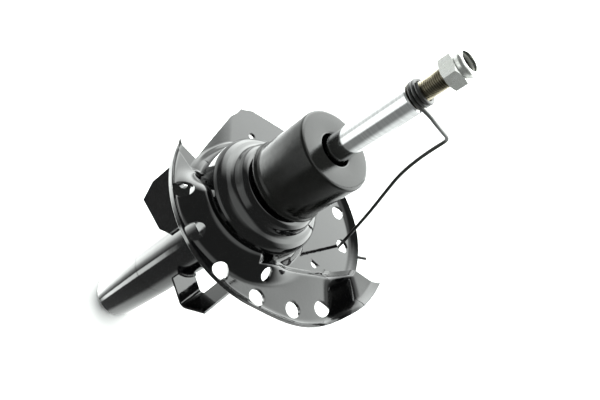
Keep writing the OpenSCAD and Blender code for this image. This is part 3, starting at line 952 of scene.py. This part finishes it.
def make_hose_bracket():
    """The folded strip: a foot that slopes off the tube and a tray that rises beyond it."""
    strip = 2.5 * MM
    wide, foot_w, tray_w = TUBE_R + 4.6 * MM, 27 * MM, 58 * MM
    foot = Vector((0, TUBE_R - 9.4 * MM, PLATFORM - 108.5 * MM))
    fold = Vector((0, TUBE_R + 17.6 * MM, PLATFORM - 121.5 * MM))
    brow = fold + Vector((0, 15 * MM, 24 * MM))
    out, up = (foot - fold).normalized(), (brow - fold).normalized()
    bend, bend_steps = 4.5 * MM, 6
    bend_in, bend_out = fold + out * bend, fold + up * bend
    rows = [foot, foot.lerp(fold, 0.5), bend_in]
    for k in range(1, bend_steps):
        s = k / bend_steps
        rows.append(bend_in * (1 - s) ** 2 + fold * 2 * s * (1 - s) + bend_out * s**2)
    rows += [bend_out, fold.lerp(brow, 0.6), brow]
    across = [wide, wide - foot_w, wide - tray_w]
    clear_selection()
    bpy.ops.mesh.primitive_grid_add(x_subdivisions=2, y_subdivisions=len(rows) - 1, size=1)
    sheet = bpy.context.object
    sheet.name = "hose_tray"
    settle(sheet)
    for vertex in sheet.data.vertices:
        row = rows[round((vertex.co.y + 0.5) * (len(rows) - 1))]
        vertex.co = (across[round((vertex.co.x + 0.5) * 2)], row.y, row.z)
    select_faces(sheet, lambda f: f.center.x < across[1] and f.center.y < bend_out.y)
    bpy.ops.mesh.delete(type="FACE")
    edit(sheet)
    bpy.ops.mesh.normals_make_consistent(inside=False)
    leave()
    lowest = min(sheet.data.polygons, key=lambda f: f.center.y)
    apply_modifier(sheet, "SOLIDIFY", thickness=strip, offset=-1 if lowest.normal.z > 0 else 1)
    cut(sheet, tube_bore())
    ease_edges(sheet, 0.5 * MM)
    finished(sheet, "tube_assembly", "gloss_black", flats=True, stands_for=["hose_bracket"])
    edge = []
    for a in np.linspace(38, 83, 12):
        x, y = around(a, TUBE_R + 0.4 * MM)
        share = (y - foot.y) / (fold.y - foot.y)
        edge.append((x, y, mix(foot.z, fold.z, share) + 0.5 * MM))
    weld_bead("hose_weld", edge)


# ---------------------------------------------------------------- rod, nut and wire


def make_rod():
    """The ground rod with its tail and the rolled thread on its stud."""
    tail = ROD_R - 5 * MM
    shoulder_low = bottom_of("rebound_ring")
    rod_low = top_of("compression_discs")
    groove_top = top_of("rebound_ring")
    root = STUD_R - 0.75 * MM
    outline = [
        (0, ROD_BOTTOM),
        (tail - 1 * MM, ROD_BOTTOM),
        (tail, ROD_BOTTOM + 1 * MM),
        (tail, rod_low),
        (ROD_R, rod_low),
        (ROD_R, shoulder_low),
        (ROD_R - 1 * MM, shoulder_low),
        (ROD_R - 1 * MM, groove_top),
        (ROD_R, groove_top),
        (ROD_R, SHOULDER - 1 * MM),
        (ROD_R - 1 * MM, SHOULDER),
        (STUD_R - 0.3 * MM, SHOULDER),
        (STUD_R - 1.1 * MM, SHOULDER + 0.8 * MM),
        (STUD_R - 1.1 * MM, SHOULDER + 2.2 * MM),
        (root, SHOULDER + 2.8 * MM),
        (root, STUD_TOP - 1.2 * MM),
        (root - 0.9 * MM, STUD_TOP),
        (0, STUD_TOP),
    ]
    shaft = turned("rod_shaft", outline, steps=128)
    pitch = 1.5 * MM
    low, high = SHOULDER + 2.6 * MM, STUD_TOP - 1.3 * MM
    turns = int((high - low) / pitch)
    foot, crest = root - 0.15 * MM, STUD_R - 0.05 * MM
    foot_half, crest_half = 0.62 * MM, 0.12 * MM
    profile = [
        (foot, 0, low - foot_half),
        (crest, 0, low - crest_half),
        (crest, 0, low + crest_half),
        (foot, 0, low + foot_half),
    ]
    ridge = drawn("thread_ridge", profile)
    edit(ridge)
    bpy.ops.mesh.edge_face_add()
    leave()
    apply_modifier(
        ridge,
        "SCREW",
        axis="Z",
        angle=2 * math.pi,
        screw_offset=pitch,
        iterations=turns,
        steps=48,
        render_steps=48,
        use_merge_vertices=False,
        use_normal_calculate=True,
    )
    edit(ridge)
    bpy.ops.mesh.remove_doubles(threshold=TOUCH)
    bpy.ops.mesh.normals_make_consistent(inside=False)
    leave()
    rod = joined("ground_rod", shaft, ridge)
    finished(rod, "rod_assembly", "chrome_rod", angle=30, stands_for=["piston_rod"])


def make_nut():
    """The self-locking nut: a chamfered hexagon under a rolled collar."""
    low, high = bottom_of("top_nut"), top_of("top_nut")
    half_flats = 11 * MM
    corner = half_flats / math.cos(math.radians(30))
    hex_top = low + 10.5 * MM
    hexagon = bar(corner, low, hex_top, sides=6)
    hexagon.rotation_euler = (0, 0, math.radians(30))
    settle(hexagon)
    barrel = turned(
        "barrel",
        [
            (0, low - 0.01 * MM),
            (corner - 1.7 * MM, low - 0.01 * MM),
            (corner + 0.4 * MM, low + 1.2 * MM),
            (corner + 0.4 * MM, hex_top - 1.2 * MM),
            (corner - 1.7 * MM, hex_top + 0.01 * MM),
            (0, hex_top + 0.01 * MM),
        ],
        steps=120,
    )
    cut(hexagon, barrel, "INTERSECT")
    cut(hexagon, bar(STUD_R + 0.02 * MM, low - MM, high + MM, sides=96))
    collar = turned(
        "collar",
        [
            (STUD_R + 1.6 * MM, hex_top - 0.6 * MM),
            (STUD_R + 3.2 * MM, hex_top - 0.6 * MM),
            (STUD_R + 3.0 * MM, hex_top + 0.6 * MM),
            (STUD_R + 3.0 * MM, high - 2.4 * MM),
            (STUD_R + 2.5 * MM, high - 0.9 * MM),
            (STUD_R + 1.4 * MM, high - 0.1 * MM),
            (STUD_R + 0.5 * MM, high),
            (STUD_R + 0.3 * MM, high - 0.8 * MM),
            (STUD_R + 1.3 * MM, high - 1.2 * MM),
            (STUD_R + 1.6 * MM, high - 2.2 * MM),
        ],
        steps=120,
        rounding=0.3 * MM,
    )
    ease_edges(hexagon, 0.18 * MM, angle=25)
    nut = joined("lock_nut", hexagon, collar)
    finished(nut, "rod_assembly", "zinc_plate", angle=28, flats=True, stands_for=["top_nut"])
    insert = turned(
        "lock_insert",
        [
            (STUD_R + 0.02 * MM, hex_top),
            (STUD_R + 1.55 * MM, hex_top),
            (STUD_R + 1.55 * MM, hex_top + 2.4 * MM),
            (STUD_R + 1.2 * MM, hex_top + 2.8 * MM),
            (STUD_R + 0.3 * MM, hex_top + 2.8 * MM),
            (STUD_R + 0.02 * MM, hex_top + 2.4 * MM),
        ],
        steps=96,
        rounding=0.2 * MM,
    )
    finished(insert, "rod_assembly", "nylon", stands_for=["nut_insert"])


def make_wire():
    """The transport wire: a coil round the stud, then a leg down through a drain in the platform."""
    wire_r = 1.45 * MM
    hook_drain = 7
    hole = Seat.drain(hook_drain)
    azimuth = math.atan2(hole[1], hole[0])
    out = math.hypot(*hole) * MM
    drop = SHOULDER - PLATFORM
    coil_r = STUD_R + 0.6 * MM + wire_r
    coil_low = SHOULDER + 0.3 * MM + wire_r
    turns, per_turn = 2.25, 20
    route = [
        (0.094, -0.007), (0.188, 0.009), (0.291, 0.028), (0.384, 0.045), (0.441, 0.059), (0.474, 0.081),
        (0.483, 0.118), (0.488, 0.168), (0.502, 0.246), (0.544, 0.359), (0.614, 0.459), (0.684, 0.555),
        (0.755, 0.655), (0.825, 0.762), (0.891, 0.868), (0.952, 0.964), (0.980, 1.020), (1.013, 1.053),
        (1.069, 1.064), (1.153, 1.056), (1.247, 1.036), (1.331, 1.017),
    ]
    line = []
    for k in range(int(turns * per_turn)):
        left = turns - k / per_turn
        a = azimuth - math.radians(90 + 360 * left)
        line.append((coil_r * math.cos(a), coil_r * math.sin(a), coil_low + 2 * wire_r * left))
    for k, (share_out, share_down) in enumerate(route):
        off = coil_r * (1 - float(ease(k / 6)))
        reach = share_out * out
        x = reach * math.cos(azimuth) + off * math.sin(azimuth)
        y = reach * math.sin(azimuth) - off * math.cos(azimuth)
        line.append((x, y, SHOULDER - share_down * drop))
    wire = swept("transport_hook", line, [wire_r] * len(line))
    finished(wire, None, "black_wire", angle=60, stands_for=["transport_wire"])
    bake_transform(wire)


# ---------------------------------------------------------------- inner pieces


def finish_inner_pieces():
    """Every piece that keeps its CAD shape gets its own finish."""
    for row in frame["record"]["subparts"]:
        give(frame["nodes"][row["node"]], row["material_slot"])


# ---------------------------------------------------------------- studio


def backdrop():
    """A white paper cylinder round the studio, which only the camera sees."""
    radius, height, sunk = 5.5, 8, 0.1
    clear_selection()
    bpy.ops.mesh.primitive_cylinder_add(
        vertices=96,
        radius=radius,
        depth=height,
        location=(0, 0, height / 2 - sunk),
        end_fill_type="NOTHING",
    )
    paper = bpy.context.object
    paper.name = "studio_backdrop"
    finish = material("backdrop_paper")
    shade, pale = (0.9, 0.9, 0.9), (0.92, 0.92, 0.92)
    finish.feed(
        finish.shader,
        {
            "Base Color": finish.mixed(finish.noise(1, 1.0), shade, pale),
            "Emission Color": (1, 1, 1, 1),
            "Emission Strength": 1.0,
        },
    )
    paper.data.materials.append(finish.material)
    paper.visible_glossy = paper.visible_diffuse = False
    paper.visible_transmission = paper.visible_shadow = False


def lay_floor():
    """A plain white floor, which the paint doesn't mirror."""
    clear_selection()
    bpy.ops.mesh.primitive_plane_add(size=12, location=(0, 0, -0.5 * MM))
    floor = bpy.context.object
    floor.name = "studio_floor"
    finish = material("floor_paper")
    paper = finish.mixed(finish.noise(3, 2.0), (0.86, 0.86, 0.86), (0.9, 0.9, 0.9))
    finish.feed(finish.shader, {"Base Color": paper, "Roughness": 0.9})
    floor.data.materials.append(finish.material)
    floor.visible_glossy = False


# each panel: azimuth, half-width and its softness, low, high, strength, and how softly it rises and falls
PANELS = (
    (180, 66, 20, -2, 58, 6.7, 6, 15),
    (-113, 44, 34, -90, -38, 5.2, 4, 4),
    (-80, 15, 9, -90, -38, 2.2, 4, 4),
    (-135, 50, 25, -36, -4, 1.3, 4, 4),
    (-75, 26, 12, -36, -4, 0.6, 4, 4),
    (-122, 24, 16, 4, 48, 3.0, 8, 8),
    (-27, 9, 3, -72, -50, 6.5, 3, 3),
    (-25, 22, 8, -36, -8, 1.3, 3, 3),
    (128, 66, 14, -90, -43, 1.25, 4, 4),
    (128, 52, 26, -36, 2, 0.8, 4, 4),
    (152, 26, 10, -46, -30, 0.9, 4, 4),
    (-170, 30, 15, -90, -38, 1.0, 6, 6),
)
OVERHEAD, FILL = 1.5, 0.25
LAMP_TINT = (0.965, 1, 0.98, 1)


def light_studio():
    """A sky of soft panels round the strut, by their heading and height in degrees."""
    world = bpy.data.worlds.new("studio_light")
    world.use_nodes = True
    bpy.context.scene.world = world
    sky = Finish(world.node_tree, "Background")
    out = sky.node("OutputWorld")
    sky.tree.links.new(sky.shader.outputs[0], out.inputs[0])
    heading = sky.add("TexCoord", out="Generated")
    x, y, z = (sky.add("SeparateXYZ", None, {0: heading}, out=k) for k in range(3))
    flat = (x * x + y * y + 0.00001) ** 0.5
    height = sky.add("Math", {"operation": "ARCSINE"}, {0: z}) * (180 / math.pi)

    def panel(azimuth, half, soft, low, high, strength, rise, fall):
        a = math.radians(azimuth)
        toward = (x * math.cos(a) + y * math.sin(a)) / flat
        outer = math.cos(math.radians(min(half + soft, 180)))
        inner = math.cos(math.radians(max(half - soft, 0)))
        across = sky.ranged(toward, outer, inner)
        bottom = sky.ranged(height, low - rise, low + rise)
        top = sky.ranged(height, high - fall, high + fall, 1.0, 0.0)
        return across * bottom * top * strength

    light = sky.ranged(height, 60, 76) * OVERHEAD + FILL
    for row in PANELS:
        light = light + panel(*row)
    sky.feed(sky.shader, {"Color": LAMP_TINT, "Strength": light})
    bpy.context.scene.view_settings.view_transform = "Standard"


# ---------------------------------------------------------------- build

make_tube()
make_neck()
make_cap()
make_seat()
make_link_bracket()
make_hose_bracket()
make_rod()
make_nut()
make_wire()
finish_inner_pieces()
lay_floor()
backdrop()
light_studio()
